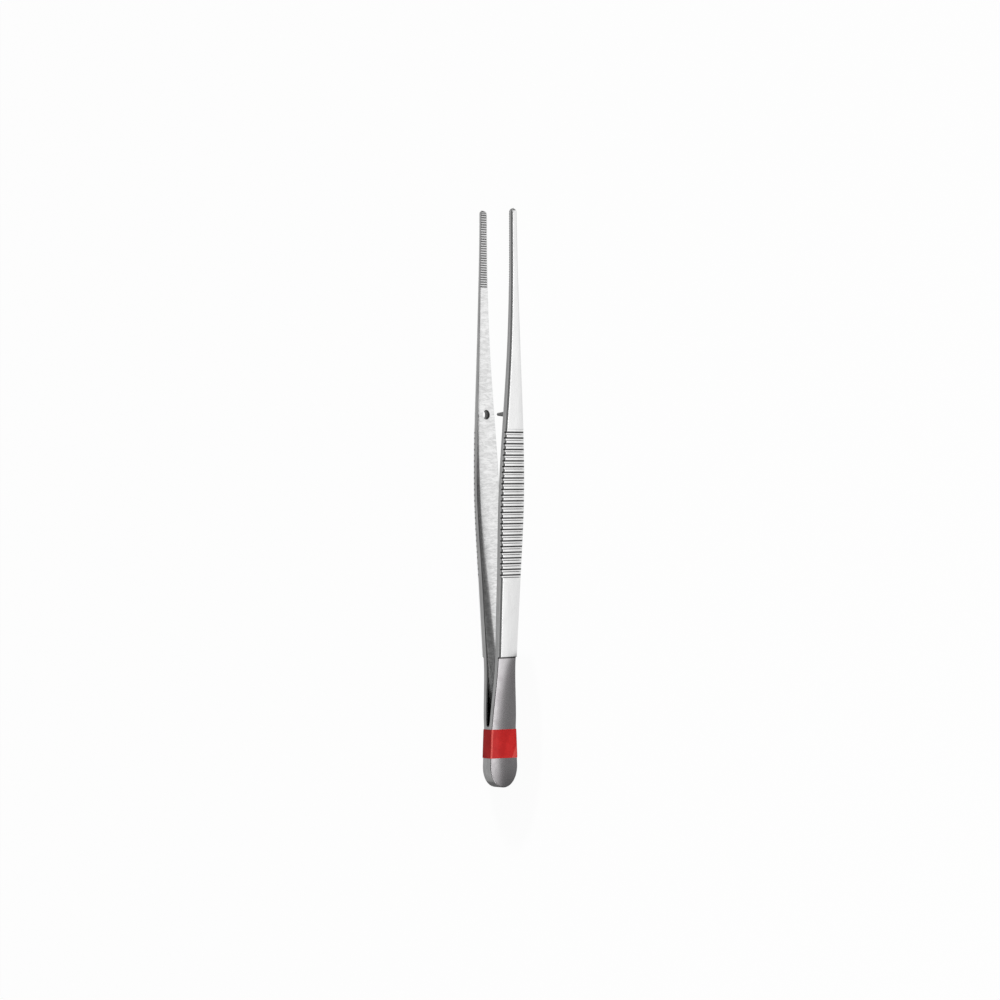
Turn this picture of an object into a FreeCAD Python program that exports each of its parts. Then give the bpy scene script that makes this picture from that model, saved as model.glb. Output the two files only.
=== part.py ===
"""Dissecting forceps: two sprung steel arms welded at the closed end, a guide pin and a colour band.

Millimetres. The forceps lie on their edges: X is the opening direction, Y the long axis with the
tips at +Y, Z the width of the arms. The origin is the middle of the bounding box on the surface
that the forceps lie on. The arms are drawn with the closed end at Y = 0 and the width centred on
Z = 0, and are moved to that origin when they are written.
"""

import FreeCAD, Part
import math
import os

# Stations along the long axis, measured from the closed end
overall_length = 145.0
weld_length = 15.3
shoulder_station = 32.7
panel_end_station = 52.3
grip_bulge_station = 71.0
pin_station = 93.6
jaw_length = 20.3

# Half of the gap between the inner faces
crotch_half_gap = 0.45
shoulder_half_gap = 1.4
panel_end_half_gap = 2.5
grip_half_gap = 3.55
pin_half_gap = 4.42
jaw_root_half_gap = 5.0
tip_half_gap = 4.87

# Thickness of one arm, inner face to outer face
closed_end_thickness = 1.65
heel_thickness = 1.42
shoulder_height = 0.6
panel_thickness = 2.0
grip_thickness = 1.9
pin_land_thickness = 1.72
jaw_root_thickness = 1.32
tip_thickness = 1.2

# Width of one arm. The blade width is halfway between the guide pin and the jaws
closed_end_width = 9.5
closed_end_round_length = 5.6
heel_crown = 0.15
heel_width = 8.3
waist_width = 6.25
panel_end_width = 6.95
grip_width = 7.5
pin_land_width = 5.8
blade_width = 3.84
jaw_root_width = 2.65
tip_width = 2.05

# Joggle where the arms part above the weld
joggle_start = 14.6
joggle_length = 2.7

# Edges
blade_edge_radius = 0.75
heel_edge_bevel = 0.2
tip_corner_radius = 1.0
tip_outer_radius = 0.5
tip_inner_radius = 0.55

# Grip grooves across the outer faces
groove_count = 26
groove_pitch = 1.427
groove_margin = 0.35
groove_mouth = 0.88
groove_floor = 0.42
groove_depth = 0.3

# Teeth across the inner faces of the jaws
tooth_pitch = 0.6
tooth_crest = 0.12
tooth_depth = 0.2
tooth_tip_margin = 0.7

# Guide pin, its blind seat in one arm and the hole that it enters in the other
pin_diameter = 1.8
pin_tip_diameter = 0.8
pin_reach = 4.9
pin_straight_length = 0.4
pin_tip_bevel = 0.15
pin_seat_depth = 0.95
pin_seat_clearance = 0.01
guide_hole_diameter = 2.3

# Colour band
band_start = 7.4
band_width = 7.2
band_thickness = 0.15
band_skew_deg = 1.5

# How far a cutter stands past what it cuts, and past the tooth and groove mouths
overcut = 1.0
groove_overcut = 0.2
tooth_overcut = 0.04


def vector(x, y, z=0.0):
    return FreeCAD.Vector(x, y, z)


def segment(start, end):
    return Part.LineSegment(start, end).toShape()


def round_corner(start, corner, end):
    """A quarter round from start to end that is tangent to the two sides of the corner."""
    curve = Part.BSplineCurve()
    curve.buildFromPolesMultsKnots([start, corner, end], [3, 3], [0, 1], False, 2,
                                   [1, math.sqrt(0.5), 1])
    return curve.toShape()


def smooth_curve(points, first_direction, last_direction):
    """A curve through the points that leaves and arrives in the given directions."""
    curve = Part.BSplineCurve()
    curve.interpolate(Points=points, InitialTangent=first_direction, FinalTangent=last_direction)
    return curve.toShape()


def direction(start, end):
    along = end - start
    return along.normalize()


def polygon(points):
    """Edges of the closed polygon through the points."""
    return [segment(start, end) for start, end in zip(points, points[1:] + points[:1])]


def prism(edges, height):
    """Extrude a closed outline in the XY plane by height, centred on Z = 0."""
    face = Part.Face(Part.Wire(Part.__sortEdges__(edges)))
    solid = face.extrude(vector(0, 0, height))
    solid.translate(vector(0, 0, -height / 2))
    return solid


def turned_to_width(solid):
    """Turn a prism drawn with the width along X so that its width lies along Z."""
    solid.rotate(vector(0, 0), vector(0, 1), 90)
    return solid


def inner_face_edge():
    """Inner face of an arm in the XY plane, from the crotch to the tip."""
    points = [
        vector(crotch_half_gap, weld_length + crotch_half_gap),
        vector(shoulder_half_gap, shoulder_station),
        vector(panel_end_half_gap, panel_end_station),
        vector(grip_half_gap, grip_bulge_station),
        vector(pin_half_gap, pin_station),
        vector(jaw_root_half_gap, overall_length - jaw_length),
        vector(tip_half_gap, overall_length),
    ]
    return smooth_curve(points, direction(points[0], points[1]), vector(0, 1))


def heel_edges(skin, overrun=0.0):
    """Outer face of the closed end, the joggle and the heel, going on past both ends by overrun."""
    closed_end = vector(closed_end_thickness + skin, -overrun)
    joggle_foot = vector(closed_end_thickness + skin, joggle_start)
    heel_start = vector(crotch_half_gap + heel_thickness + skin, joggle_start + joggle_length)
    heel_end = vector(shoulder_half_gap + heel_thickness + skin, shoulder_station)
    along = direction(heel_start, heel_end)
    return [
        segment(closed_end, joggle_foot),
        smooth_curve([joggle_foot, heel_start], vector(0, 1), along),
        segment(heel_start, heel_end + along * overrun),
    ]


def heel_under_crown(skin):
    """A long body whose outer face follows the heel and is crowned across the width."""
    crown_radius = (closed_end_width / 2) ** 2 / 2 / heel_crown
    reach = closed_end_width / 2 + skin + overcut
    drop = crown_radius - math.sqrt(crown_radius ** 2 - reach ** 2)
    crest_x = closed_end_thickness + skin
    left = vector(crest_x - drop, -overcut, -reach)
    right = vector(crest_x - drop, -overcut, reach)
    inside = vector(-crest_x - overcut, 0)
    profile = Part.Wire([
        Part.Arc(left, vector(crest_x, -overcut), right).toShape(),
        segment(right, right + inside),
        segment(right + inside, left + inside),
        segment(left + inside, left),
    ])
    return Part.Wire(heel_edges(skin, overcut)).makePipeShell([profile], True, False)


def panel_corners(skin):
    """Ends of the flat finger panel."""
    shoulder_x = shoulder_half_gap + heel_thickness + shoulder_height
    panel_start = vector(shoulder_x + skin, shoulder_station)
    panel_end = vector(panel_end_half_gap + panel_thickness + skin, panel_end_station)
    return panel_start, panel_end


def grip_edge(skin):
    """Outer face from the end of the flat panel to the tip."""
    panel_start, panel_end = panel_corners(skin)
    points = [
        panel_end,
        vector(grip_half_gap + grip_thickness + skin, grip_bulge_station),
        vector(pin_half_gap + pin_land_thickness + skin, pin_station),
        vector(jaw_root_half_gap + jaw_root_thickness + skin, overall_length - jaw_length),
        vector(tip_half_gap + tip_thickness + skin, overall_length),
    ]
    return smooth_curve(points, direction(panel_start, panel_end), vector(0, 1))


def side_profile(skin):
    """Closed outline of one arm seen along its width, its outer face moved out by skin."""
    weld_end = vector(0, weld_length)
    crotch_end = vector(crotch_half_gap, weld_length + crotch_half_gap)
    tip_inner = vector(tip_half_gap, overall_length)
    tip_outer = vector(tip_half_gap + tip_thickness + skin, overall_length)
    panel_start, panel_end = panel_corners(skin)
    closed_corner = vector(closed_end_thickness + skin, 0)
    heel_end = vector(shoulder_half_gap + heel_thickness + skin, shoulder_station)
    return [
        segment(vector(0, 0), weld_end),
        round_corner(weld_end, vector(crotch_half_gap, weld_length), crotch_end),
        inner_face_edge(),
        segment(tip_inner, tip_outer),
        grip_edge(skin),
        segment(panel_end, panel_start),
        segment(panel_start, heel_end),
        *heel_edges(skin),
        segment(closed_corner, vector(0, 0)),
    ]


def outline_side(side, skin):
    """One long side of the arm's outline, moved out by skin. side is 1 or -1."""

    def at(width, station):
        return vector(side * (width / 2 + skin), station)

    round_end = at(closed_end_width, closed_end_round_length)
    heel = at(heel_width, joggle_start + joggle_length)
    waist = at(waist_width, shoulder_station)
    panel_end = at(panel_end_width, panel_end_station)
    grip = at(grip_width, grip_bulge_station)
    pin_land = at(pin_land_width, pin_station)
    jaw_root = at(jaw_root_width, overall_length - jaw_length)
    blade = at(blade_width, (pin_station + jaw_root.y) / 2)
    tip = at(tip_width, overall_length)
    taper = direction(round_end, heel)
    widening = direction(waist, panel_end)
    closed_corner = round_end - taper * (round_end.y / taper.y)
    edges = [round_corner(vector(0, 0), closed_corner, round_end)]
    edges.append(segment(round_end, heel))
    edges.append(smooth_curve([heel, waist], taper, widening))
    edges.append(segment(waist, panel_end))
    edges.append(smooth_curve([panel_end, grip, pin_land, blade, jaw_root, tip], widening, vector(0, 1)))
    return edges, tip


def width_prism(skin):
    """The arm's outline seen along the opening direction, as a prism across both arms."""
    left_edges, left_tip = outline_side(-1, skin)
    right_edges, right_tip = outline_side(1, skin)
    edges = left_edges + [segment(left_tip, right_tip)] + right_edges
    return turned_to_width(prism(edges, 4 * (tip_half_gap + tip_thickness)))


def length_of_arm(blank, start, end):
    """The part of a blank between two stations."""
    reach = 4 * closed_end_width
    window = Part.makeBox(reach, end - start, reach, vector(-reach / 2, start, -reach / 2))
    return blank.common(window).Solids[0]


def outer_long_edges(solid, outer_x):
    """Edges between the sides and an outer face that starts at outer_x."""
    tolerance = 0.01
    chosen = []
    for edge in solid.Edges:
        box = edge.BoundBox
        on_a_side = box.ZMin > tolerance or box.ZMax < -tolerance
        runs_along = box.YMax - box.YMin > 2 * overcut
        if on_a_side and runs_along and box.XMin > outer_x - tolerance:
            chosen.append(edge)
    return chosen


def arm_lengths(skin):
    """The heel and the blade of the arm at +X, their outer long edges bevelled and rounded.

    skin moves the outer faces and the sides outwards, as for a wrap round the arms, and the bevel
    and the rounding grow so that the wrap is as thick over them.
    """
    slab = prism(side_profile(skin), 2 * closed_end_width)
    blank = slab.common(width_prism(skin)).Solids[0]
    panel_start, panel_end = panel_corners(skin)
    heel = length_of_arm(blank, -overcut, shoulder_station).common(heel_under_crown(skin)).Solids[0]
    blade = length_of_arm(blank, shoulder_station, overall_length + overcut)
    heel_edge_list = outer_long_edges(heel, closed_end_thickness + skin - 2 * heel_crown)
    heel_bevel = heel_edge_bevel + skin * (2 - math.sqrt(2))
    heel = heel.makeChamfer(heel_bevel, heel_edge_list).Solids[0]
    blade_edge_list = outer_long_edges(blade, panel_start.x)
    blade = blade.makeFillet(blade_edge_radius + skin, blade_edge_list).Solids[0]
    return heel, blade


def corner_waste(side_point, corner, end_point):
    """Edges round the waste outside a rounded corner of an outline."""
    away_from_side = (corner - end_point).normalize() * overcut
    past_the_end = (corner - side_point).normalize() * overcut
    return [
        round_corner(side_point, corner, end_point),
        segment(end_point, end_point + past_the_end),
        segment(end_point + past_the_end, corner + past_the_end + away_from_side),
        segment(corner + past_the_end + away_from_side, side_point + away_from_side),
        segment(side_point + away_from_side, side_point),
    ]


def tip_corner(x, radius, inwards):
    """Waste at one corner of the tip. inwards is the sign of the way into the tip along X."""
    corner = vector(x, overall_length)
    side_point = corner - vector(0, radius)
    end_point = corner + vector(inwards * radius, 0)
    return corner_waste(side_point, corner, end_point)


def tip_waste():
    """Everything that rounding the four edges of the tip takes away."""
    span = 2 * closed_end_width
    inner_edge = prism(tip_corner(tip_half_gap, tip_inner_radius, 1), span)
    outer_edge = prism(tip_corner(tip_half_gap + tip_thickness, tip_outer_radius, -1), span)
    upper_edge = turned_to_width(prism(tip_corner(tip_width / 2, tip_corner_radius, -1), span))
    lower_edge = turned_to_width(prism(tip_corner(-tip_width / 2, tip_corner_radius, 1), span))
    return [inner_edge, outer_edge, upper_edge, lower_edge]


def notch(edge, distance, outwards, mouth, floor, depth, height):
    """A straight notch across an arm, set square to edge at a distance along it.

    outwards is 1 where the cut face looks to +X and -1 where it looks to -X. The walls go on
    past the mouth by height.
    """
    parameter = edge.getParameterByLength(distance)
    centre = edge.valueAt(parameter)
    along = edge.tangentAt(parameter)
    out = vector(along.y, -along.x) * outwards
    flare = (mouth - floor) / 2 / depth * height
    half_top = mouth / 2 + flare
    points = [
        centre + along * half_top + out * height,
        centre - along * half_top + out * height,
        centre - along * floor / 2 - out * depth,
    ]
    if floor > 0:
        points.append(centre + along * floor / 2 - out * depth)
    return prism(polygon(points), 2 * closed_end_width)


def grip_grooves():
    edge = grip_edge(0.0)
    first = groove_margin + groove_mouth / 2
    return [notch(edge, first + index * groove_pitch, 1, groove_mouth, groove_floor,
                  groove_depth, groove_overcut) for index in range(groove_count)]


def jaw_teeth():
    """Spaces between the teeth, counted back from the tip."""
    edge = inner_face_edge()
    count = int((jaw_length - tooth_tip_margin) / tooth_pitch)
    mouth = tooth_pitch - tooth_crest
    first = edge.Length - tooth_tip_margin - mouth / 2
    return [notch(edge, first - index * tooth_pitch, -1, mouth, 0.0, tooth_depth,
                  tooth_overcut) for index in range(count)]


def cut_arm():
    """The arm at +X with its tip, grooves and teeth, before the pin seat or the guide hole."""
    heel, blade = arm_lengths(0.0)
    blade = blade.cut(tip_waste() + grip_grooves())
    blade = blade.cut(jaw_teeth())
    return heel.fuse(blade).Solids[0]


def rod(diameter, start_x, length):
    """A round rod along -X on the guide pin's line."""
    return Part.makeCylinder(diameter / 2, length, vector(start_x, pin_station), vector(-1, 0))


def pin_seat():
    length = pin_seat_depth + pin_half_gap
    return rod(pin_diameter + 2 * pin_seat_clearance, pin_half_gap + pin_seat_depth, length)


def guide_hole():
    length = pin_half_gap + pin_land_thickness + overcut
    return rod(guide_hole_diameter, 0, length)


def make_guide_pin():
    """Turned pin: a straight shank in its seat, then a taper with a bevelled tip."""
    radius = pin_diameter / 2
    tip_radius = pin_tip_diameter / 2
    foot_x = pin_half_gap + pin_seat_depth
    taper_x = pin_half_gap - pin_straight_length
    tip_x = pin_half_gap - pin_reach
    points = [
        vector(foot_x, 0),
        vector(foot_x, radius),
        vector(taper_x, radius),
        vector(tip_x + pin_tip_bevel, tip_radius),
        vector(tip_x, tip_radius - pin_tip_bevel),
        vector(tip_x, 0),
    ]
    half_section = Part.Face(Part.Wire(polygon(points)))
    pin = half_section.revolve(vector(0, 0), vector(1, 0), 360)
    pin.translate(vector(0, pin_station))
    return pin


def make_colour_band(arms):
    """A thin wrap that follows the faces and sides of both arms."""
    half = arm_lengths(band_thickness)[0]
    wrap = half.fuse(half.mirror(vector(0, 0), vector(1, 0)))
    reach = 4 * closed_end_width
    window = Part.makeBox(reach, band_width, reach, vector(-reach / 2, -band_width / 2, -reach / 2))
    window.rotate(vector(0, 0), vector(1, 0), -band_skew_deg)
    window.translate(vector(0, band_start + band_width / 2))
    return wrap.common(window).cut(arms).Solids[0]


def main():
    arm = cut_arm()
    arm_with_pin = arm.cut(pin_seat())
    arm_with_hole = arm.mirror(vector(0, 0), vector(1, 0)).cut(guide_hole())
    colour_band = make_colour_band([arm_with_pin, arm_with_hole])
    pieces = {
        "arm_with_pin": arm_with_pin,
        "arm_with_hole": arm_with_hole,
        "guide_pin": make_guide_pin(),
        "colour_band": colour_band,
    }
    resting_height = -min(piece.optimalBoundingBox().ZMin for piece in pieces.values())
    os.makedirs("parts", exist_ok=True)
    for name, piece in pieces.items():
        piece.translate(vector(0, -overall_length / 2, resting_height))
        piece.exportStep("parts/" + name + ".step")
        print(name, piece.ShapeType, len(piece.Solids), piece.isValid(), round(piece.Volume, 3),
              len(piece.Faces), piece.optimalBoundingBox())


main()
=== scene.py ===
"""Looks of a pair of dissecting forceps: ground and satin steel arms, a turned guide pin, a red band."""

import math

import bpy
import numpy as np
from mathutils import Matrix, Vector


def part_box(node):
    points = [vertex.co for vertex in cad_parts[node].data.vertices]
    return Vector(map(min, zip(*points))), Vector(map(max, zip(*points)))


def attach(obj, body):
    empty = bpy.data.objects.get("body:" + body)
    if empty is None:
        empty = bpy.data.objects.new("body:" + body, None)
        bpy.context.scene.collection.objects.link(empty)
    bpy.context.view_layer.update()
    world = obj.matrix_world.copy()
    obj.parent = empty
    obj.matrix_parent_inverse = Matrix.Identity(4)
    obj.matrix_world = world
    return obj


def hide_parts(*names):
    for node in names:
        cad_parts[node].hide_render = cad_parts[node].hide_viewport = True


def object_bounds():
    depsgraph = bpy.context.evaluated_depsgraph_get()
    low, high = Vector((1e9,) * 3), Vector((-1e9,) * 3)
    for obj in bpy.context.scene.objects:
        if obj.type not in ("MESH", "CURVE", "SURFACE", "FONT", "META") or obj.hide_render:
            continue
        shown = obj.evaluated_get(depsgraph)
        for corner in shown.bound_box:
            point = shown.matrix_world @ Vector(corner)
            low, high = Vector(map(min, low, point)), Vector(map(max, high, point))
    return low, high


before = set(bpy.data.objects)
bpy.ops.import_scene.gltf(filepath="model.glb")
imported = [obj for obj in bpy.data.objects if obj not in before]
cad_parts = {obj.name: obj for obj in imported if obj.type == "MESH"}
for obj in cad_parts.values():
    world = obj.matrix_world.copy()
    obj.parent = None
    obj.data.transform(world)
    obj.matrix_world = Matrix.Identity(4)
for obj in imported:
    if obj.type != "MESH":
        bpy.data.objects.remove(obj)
cad_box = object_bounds()

MM = 0.001

# Stations along the long axis and sizes of one arm, millimetres, measured from the closed end
LENGTH = 145.0
WELD_END = 15.3
SHOULDER = 32.7
PANEL_END = 52.3
GRIP = 71.0
PIN_STATION = 93.6
JAW_ROOT = 124.7
BLADE = (PIN_STATION + JAW_ROOT) / 2
CROTCH_HALF_GAP = 0.45
GAP_STATIONS = [WELD_END + CROTCH_HALF_GAP, SHOULDER, PANEL_END, GRIP, PIN_STATION, JAW_ROOT, LENGTH]
HALF_GAPS = [CROTCH_HALF_GAP, 1.4, 2.5, 3.55, 4.42, 5.0, 4.87]
OUTER_STATIONS = [PANEL_END, GRIP, PIN_STATION, JAW_ROOT, LENGTH]
THICKNESSES = [2.0, 1.75, 1.68, 1.3, 1.2]
CLOSED_THICKNESS = 1.65
HEEL_THICKNESS = 1.42
SHOULDER_HEIGHT = 0.6
JOGGLE = [14.6, 17.3]
ROUND_LENGTH = 5.6
CLOSED_HALF_WIDTH = 4.75
HEEL_HALF_WIDTH = 4.15
HEEL_CROWN = 0.15
WAIST_HALF_WIDTH = 3.125
WIDTH_STATIONS = [PANEL_END, GRIP, PIN_STATION, BLADE, JAW_ROOT, LENGTH]
HALF_WIDTHS = [3.475, 3.95, 2.9, 1.92, 1.325, 1.025]
TIP_CORNER = 1.0
TIP_INNER_ROUND = 0.55
TIP_OUTER_ROUND = 0.5
TIP_LENGTH = 2.0

# Edges
HEEL_ROUND = 0.28
BLADE_ROUND = 0.75
INNER_ROUND = 0.2
BLADE_INNER_ROUND = 0.08
INNER_ROUND_TAPER = (78, 92)
TIP_SIDE_ROUND = 0.3
WELD_EDGE_ROUND = 0.004
WELD_EDGE_FADE = 1.5
LEAST_WALL = 0.05
SHOULDER_LIP = 0.22

# Notches: ridges of the grip on the outer faces, teeth of the jaws on the inner faces
GRIP_NOTCHES = {"Count": 26, "First": 0.79, "Pitch": 1.427, "Mouth": 0.92, "Floor": 0.4, "Depth": 0.3}
JAW_NOTCHES = {"Count": 32, "First": 0.94, "Pitch": 0.6, "Mouth": 0.5, "Floor": 0.0, "Depth": 0.2}

# Guide pin and its hole
PIN_RADIUS = 0.9
PIN_TIP_RADIUS = 0.4
PIN_REACH = 4.9
PIN_STRAIGHT = 0.4
PIN_RING = 0.12
SEAT_DEPTH = 0.95
SEAT_CLEARANCE = 0.01
HOLE_RADIUS = 1.15
HOLE_EDGE_BREAK = 0.06
CUTTER_OVERRUN = 1

# Band
BAND_START = 7.4
BAND_WIDTH = 7.2
BAND_THICKNESS = 0.15
BAND_SKEW = math.tan(math.radians(1.5))
BAND_EDGE_ROUND = 0.05
BAND_EDGE_SHARE = 1 / 14
BAND_CLEARANCE = 0.002

arm_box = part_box("arm_with_pin")
REST_HEIGHT = (arm_box[0][2] + arm_box[1][2]) / 2 / MM


# Nodes


class Wire:
    """An output socket of a node tree. Arithmetic on it adds Math nodes."""

    def __init__(self, tree, socket):
        self.tree = tree
        self.socket = socket

    def maths(self, operation, *values):
        sockets = dict(enumerate(values))
        return add_node(self.tree, "ShaderNodeMath", {"operation": operation}, sockets)

    def __add__(self, other):
        return self.maths("ADD", self, other)

    def __radd__(self, other):
        return self.maths("ADD", other, self)

    def __sub__(self, other):
        return self.maths("SUBTRACT", self, other)

    def __rsub__(self, other):
        return self.maths("SUBTRACT", other, self)

    def __mul__(self, other):
        return self.maths("MULTIPLY", self, other)

    def __rmul__(self, other):
        return self.maths("MULTIPLY", other, self)

    def __truediv__(self, other):
        return self.maths("DIVIDE", self, other)

    def __abs__(self):
        return self.maths("ABSOLUTE", self)

    def at_least(self, other):
        return self.maths("MAXIMUM", self, other)

    def at_most(self, other):
        return self.maths("MINIMUM", self, other)

    def ramp(self, low, high, to_low=0.0, to_high=1.0):
        """A smooth step of this value between low and high."""
        return add_node(self.tree, "ShaderNodeMapRange", {"interpolation_type": "SMOOTHSTEP"},
                        {0: self, 1: low, 2: high, 3: to_low, 4: to_high})


def add_node(tree, kind, settings, sockets, output=0):
    """One node: its settings first, then values or links of its sockets. Gives an output."""
    node = tree.nodes.new(kind)
    for name, value in settings.items():
        setattr(node, name, value)
    for name, value in sockets.items():
        if isinstance(value, Wire):
            tree.links.new(value.socket, node.inputs[name])
        else:
            node.inputs[name].default_value = value
    return Wire(tree, node.outputs[output]) if len(node.outputs) else node


def numbers_of(vector):
    """The three numbers of a vector."""
    split = vector.tree.nodes.new("ShaderNodeSeparateXYZ")
    vector.tree.links.new(vector.socket, split.inputs[0])
    return [Wire(vector.tree, socket) for socket in split.outputs]


# Curves


def clamped_spline(stations, values, first_slope, last_slope):
    """A cubic curve through the values that starts and ends with the given slopes."""
    x = np.array(stations, float)
    y = np.array(values, float)
    step = np.diff(x)
    rise = np.diff(y) / step
    count = len(x)
    system = np.eye(count)
    target = np.zeros(count)
    target[0], target[-1] = first_slope, last_slope
    for i in range(1, count - 1):
        system[i, i - 1:i + 2] = [step[i], 2 * (step[i - 1] + step[i]), step[i - 1]]
        target[i] = 3 * (step[i] * rise[i - 1] + step[i - 1] * rise[i])
    slope = np.linalg.solve(system, target)

    def curve(at):
        i = np.clip(np.searchsorted(x, at) - 1, 0, count - 2)
        t = (at - x[i]) / step[i]
        return ((1 + 2 * t) * (1 - t) ** 2 * y[i] + t * (1 - t) ** 2 * step[i] * slope[i]
                + t ** 2 * (3 - 2 * t) * y[i + 1] - t ** 2 * (1 - t) * step[i] * slope[i + 1])

    return curve


def quarter_round(u):
    """Height left by a rounding of radius 1 at the distance u from its start, 0 to 1."""
    return 1 - np.sqrt(np.clip(1 - (1 - np.clip(u, 0, 1)) ** 2, 0, 1))


FIRST_GAP_SLOPE = (HALF_GAPS[1] - HALF_GAPS[0]) / (GAP_STATIONS[1] - GAP_STATIONS[0])
HEEL_FOOT = CROTCH_HALF_GAP + HEEL_THICKNESS
HEEL_TOP = HALF_GAPS[1] + HEEL_THICKNESS
HEEL_SLOPE = (HEEL_TOP - HEEL_FOOT) / (SHOULDER - JOGGLE[1])
PANEL_FOOT = HEEL_TOP + SHOULDER_HEIGHT
PANEL_TOP = HALF_GAPS[2] + THICKNESSES[0]
PANEL_SLOPE = (PANEL_TOP - PANEL_FOOT) / (PANEL_END - SHOULDER)
TAPER_SLOPE = (HEEL_HALF_WIDTH - CLOSED_HALF_WIDTH) / (JOGGLE[1] - ROUND_LENGTH)
PANEL_WIDENING = (HALF_WIDTHS[0] - WAIST_HALF_WIDTH) / (PANEL_END - SHOULDER)

inner_curve = clamped_spline(GAP_STATIONS, HALF_GAPS, FIRST_GAP_SLOPE, 0)
joggle_curve = clamped_spline(JOGGLE, [CLOSED_THICKNESS, HEEL_FOOT], 0, HEEL_SLOPE)
outer_curve = clamped_spline(OUTER_STATIONS,
                             [gap + thick for gap, thick in zip(HALF_GAPS[2:], THICKNESSES)],
                             PANEL_SLOPE, 0)
waist_curve = clamped_spline([JOGGLE[1], SHOULDER], [HEEL_HALF_WIDTH, WAIST_HALF_WIDTH],
                             TAPER_SLOPE, PANEL_WIDENING)
width_curve = clamped_spline(WIDTH_STATIONS, HALF_WIDTHS, PANEL_WIDENING, 0)


def inner_x(y):
    """Inner face, with the crotch and the rounded inner edge of the tip."""
    crotch = CROTCH_HALF_GAP * (1 - quarter_round((y - WELD_END) / CROTCH_HALF_GAP))
    face = np.where(y < GAP_STATIONS[0], crotch, inner_curve(np.maximum(y, GAP_STATIONS[0])))
    return face + TIP_INNER_ROUND * quarter_round((LENGTH - y) / TIP_INNER_ROUND)


def outer_x(y):
    """Outer face with the joggle, the shoulder and the rounded outer edge of the tip."""
    heel = np.where(y < JOGGLE[0], CLOSED_THICKNESS, joggle_curve(np.clip(y, *JOGGLE)))
    heel = np.where(y > JOGGLE[1], HEEL_FOOT + HEEL_SLOPE * (y - JOGGLE[1]), heel)
    panel = PANEL_FOOT + PANEL_SLOPE * (y - SHOULDER)
    panel = panel - SHOULDER_LIP * quarter_round((y - SHOULDER) / SHOULDER_LIP)
    blade = np.where(y < PANEL_END, panel, outer_curve(np.maximum(y, PANEL_END)))
    blade = blade - TIP_OUTER_ROUND * quarter_round((LENGTH - y) / TIP_OUTER_ROUND)
    return np.where(y <= SHOULDER, heel, blade)


def half_width(y):
    """Half the width of an arm, from its rounded closed end to the corner of its tip."""
    taper = CLOSED_HALF_WIDTH + TAPER_SLOPE * (y - ROUND_LENGTH)
    waist = waist_curve(np.clip(y, JOGGLE[1], SHOULDER))
    panel = WAIST_HALF_WIDTH + PANEL_WIDENING * (y - SHOULDER)
    width = np.where(y < JOGGLE[1], taper, waist)
    width = np.where(y > SHOULDER, panel, width)
    return np.where(y > PANEL_END, width_curve(np.maximum(y, PANEL_END)), width)


DENSE = np.linspace(PANEL_END, LENGTH, 4000)
NOTCH_WALL_SHARES = (0, 0.22, 0.5, 0.78, 1)


def run_along(curve, y):
    """Distance along a face from the end of the flat panel to the stations y."""
    x = curve(DENSE)
    run = np.concatenate([[0], np.cumsum(np.hypot(np.diff(x), np.diff(DENSE)))])
    return np.interp(y, DENSE, run)


def notch_rows(curve, notches, from_tip):
    """Stations of the rows of points that a run of notches needs."""
    table = run_along(curve, DENSE)
    half_mouth, half_floor = notches["Mouth"] / 2, notches["Floor"] / 2
    wall = [half_floor + (half_mouth - half_floor) * share for share in NOTCH_WALL_SHARES]
    offsets = sorted(set([-w for w in wall] + wall))
    centres = notches["First"] + notches["Pitch"] * np.arange(notches["Count"])
    runs = np.array([centre + offset for centre in centres for offset in offsets])
    if from_tip:
        runs = table[-1] - runs
    return np.interp(runs, table, DENSE)


# Meshes

# Rows of points along the arm, and columns of points across its faces and their roundings
CLOSED_ROW_STEP = 0.75
ARM_ROW_STEP = 0.7
BLADE_ROW_STEP = 0.8
FIRST_ARM_ROW = 18.0
SHOULDER_CLEAR = 0.2
SHOULDER_STEP = 0.02
PAST_SHOULDER = 0.001
BEFORE_SHOULDER = 0.01
PANEL_CLEAR = 0.8
HOLE_CLEAR = 1.6
LEAST_ROW_STEP = 0.012
OUTER_INSETS = 1 - np.cos(np.linspace(0, math.pi / 2, 9))
INNER_INSETS = 1 - np.cos(np.linspace(0, math.pi / 2, 4))
ROW_INSETS = 1 - np.cos(np.linspace(0, math.pi / 2, 6))
ACROSS = np.linspace(-1, 1, 9)[1:-1]
SIDE_MARGIN = 0.05
LARGEST_MARGIN_SHARE = 0.3
HEEL, PANEL, SIDE, INNER, EDGE = range(5)

# Distance along a face that is given to points that aren't on it, far from any notch
OFF_FACE = -1000.0


def closed_end_outline():
    """The rounded closed end: a conic arc from the middle of its end to its widest point."""
    corner = CLOSED_HALF_WIDTH - TAPER_SLOPE * ROUND_LENGTH
    t = np.linspace(0, 1, 26)[:-1]
    weights = np.array([(1 - t) ** 2, math.sqrt(2) * t * (1 - t), t ** 2])
    total = weights.sum(axis=0)
    y = weights[2] * ROUND_LENGTH / total
    z = (weights[1] * corner + weights[2] * CLOSED_HALF_WIDTH) / total
    return y, z


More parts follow.
